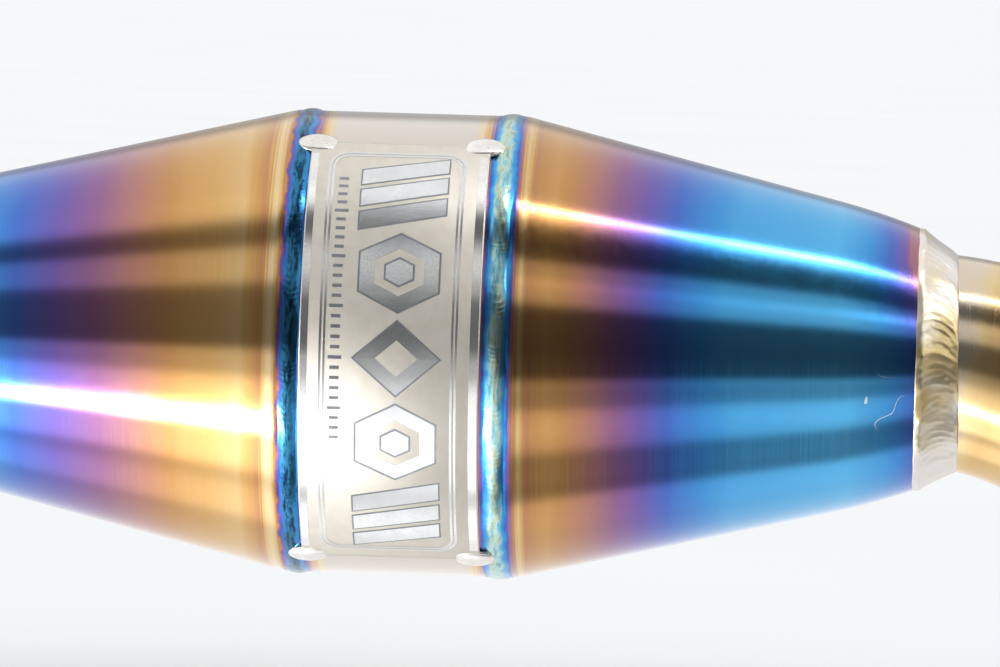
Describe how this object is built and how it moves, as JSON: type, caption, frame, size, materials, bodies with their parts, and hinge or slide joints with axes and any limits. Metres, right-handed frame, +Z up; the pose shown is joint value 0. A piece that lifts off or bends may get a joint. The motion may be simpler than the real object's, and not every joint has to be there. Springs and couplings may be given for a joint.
{
  "type": "motorcycle exhaust muffler",
  "caption": "Double-cone titanium muffler with a badge plate, inlet elbow with clamped slip joint, removable baffle and rubber-bushed hanger.",
  "frame": {"origin": "centre of the inlet slip joint's mouth", "axes": "+X along the body's axis towards the inlet, -Y the side with the badge plate, +Z up; the slip joint's axis points 40 degrees below +X"},
  "size_m": [0.3976, 0.1333, 0.1432],
  "materials": {
    "heat_tinted_titanium": "circumferentially brushed titanium with heat-tint bands of straw, purple and blue",
    "straw_titanium": "brushed titanium with a light straw tint",
    "blued_seam_weld": "blued weld seam with fine ripples",
    "weld_bead": "bright rippled weld bead",
    "etched_badge_plate": "satin plate with etched ornament",
    "stainless_steel": "satin stainless steel",
    "plated_fastener": "zinc-plated steel",
    "hanger_rubber": "matte black rubber",
    "steel_wool": "matted steel wool",
    "glass_packing": "off-white glass fibre packing"
  },
  "bodies": {
    "muffler": {"centre_band": "straw_titanium", "inlet_cone": "heat_tinted_titanium", "outlet_cone": "heat_tinted_titanium", "inlet_seam_weld": "blued_seam_weld", "outlet_seam_weld": "blued_seam_weld", "inlet_cone_seam": "blued_seam_weld", "band_seam": "blued_seam_weld", "outlet_cone_seam": "blued_seam_weld", "inlet_end_ring": "straw_titanium", "outlet_end_ring": "straw_titanium", "inlet_weld_bead": "weld_bead", "outlet_weld_bead": "weld_bead", "inlet_pipe": "straw_titanium", "inlet_socket": "straw_titanium", "socket_weld_bead": "weld_bead", "outlet_tip": "straw_titanium", "bolt_boss": "straw_titanium", "core_tube": "stainless_steel", "wool_wrap": "steel_wool", "packing": "glass_packing", "badge_plate": "etched_badge_plate", "badge_tack_1": "weld_bead", "badge_tack_2": "weld_bead", "badge_tack_3": "weld_bead", "badge_tack_4": "weld_bead", "hanger_bracket": "straw_titanium", "hanger_weld_upper": "weld_bead", "hanger_weld_lower": "weld_bead", "hanger_grommet": "hanger_rubber", "hanger_sleeve": "plated_fastener"},
    "clamp": {"clamp_band": "stainless_steel", "clamp_bolt": "plated_fastener"},
    "nut_washer": {"clamp_washer": "plated_fastener"},
    "nut": {"clamp_nut": "plated_fastener"},
    "baffle": {"baffle_ring": "stainless_steel", "baffle_tube": "stainless_steel", "baffle_restrictor": "stainless_steel"},
    "bolt_washer": {"baffle_bolt_washer": "plated_fastener"},
    "bolt": {"baffle_bolt": "plated_fastener"}
  },
  "joints": [
    {"name": "clamp_swivel", "type": "hinge", "parent": "muffler", "child": "clamp", "pos_m": [-0.00996, 0, 0.00836], "axis": [0.766, 0, -0.6428], "continuous": true},
    {"name": "nut_travel", "type": "slide", "parent": "clamp", "child": "nut_washer", "axis": [0, 1, 0], "range_m": [0, 0.011]},
    {"name": "nut_spin", "type": "hinge", "parent": "nut_washer", "child": "nut", "pos_m": [-0.03403, 0, -0.02033], "axis": [0, 1, 0], "range_deg": [0, 3960]},
    {"name": "baffle_slide", "type": "slide", "parent": "muffler", "child": "baffle", "axis": [-1, 0, 0], "range_m": [0, 0.1]},
    {"name": "bolt_travel", "type": "slide", "parent": "muffler", "child": "bolt_washer", "axis": [0, 1, 0], "range_m": [0, 0.012]},
    {"name": "bolt_spin", "type": "hinge", "parent": "bolt_washer", "child": "bolt", "pos_m": [-0.36414, 0, 0.05647], "axis": [0, 1, 0], "range_deg": [0, 4320]}
  ],
  "couplings": [
    {"joint": "nut_travel", "follows": "nut_spin", "m_per_rad": 0.00015915},
    {"joint": "bolt_travel", "follows": "bolt_spin", "m_per_rad": 0.00015915}
  ]
}
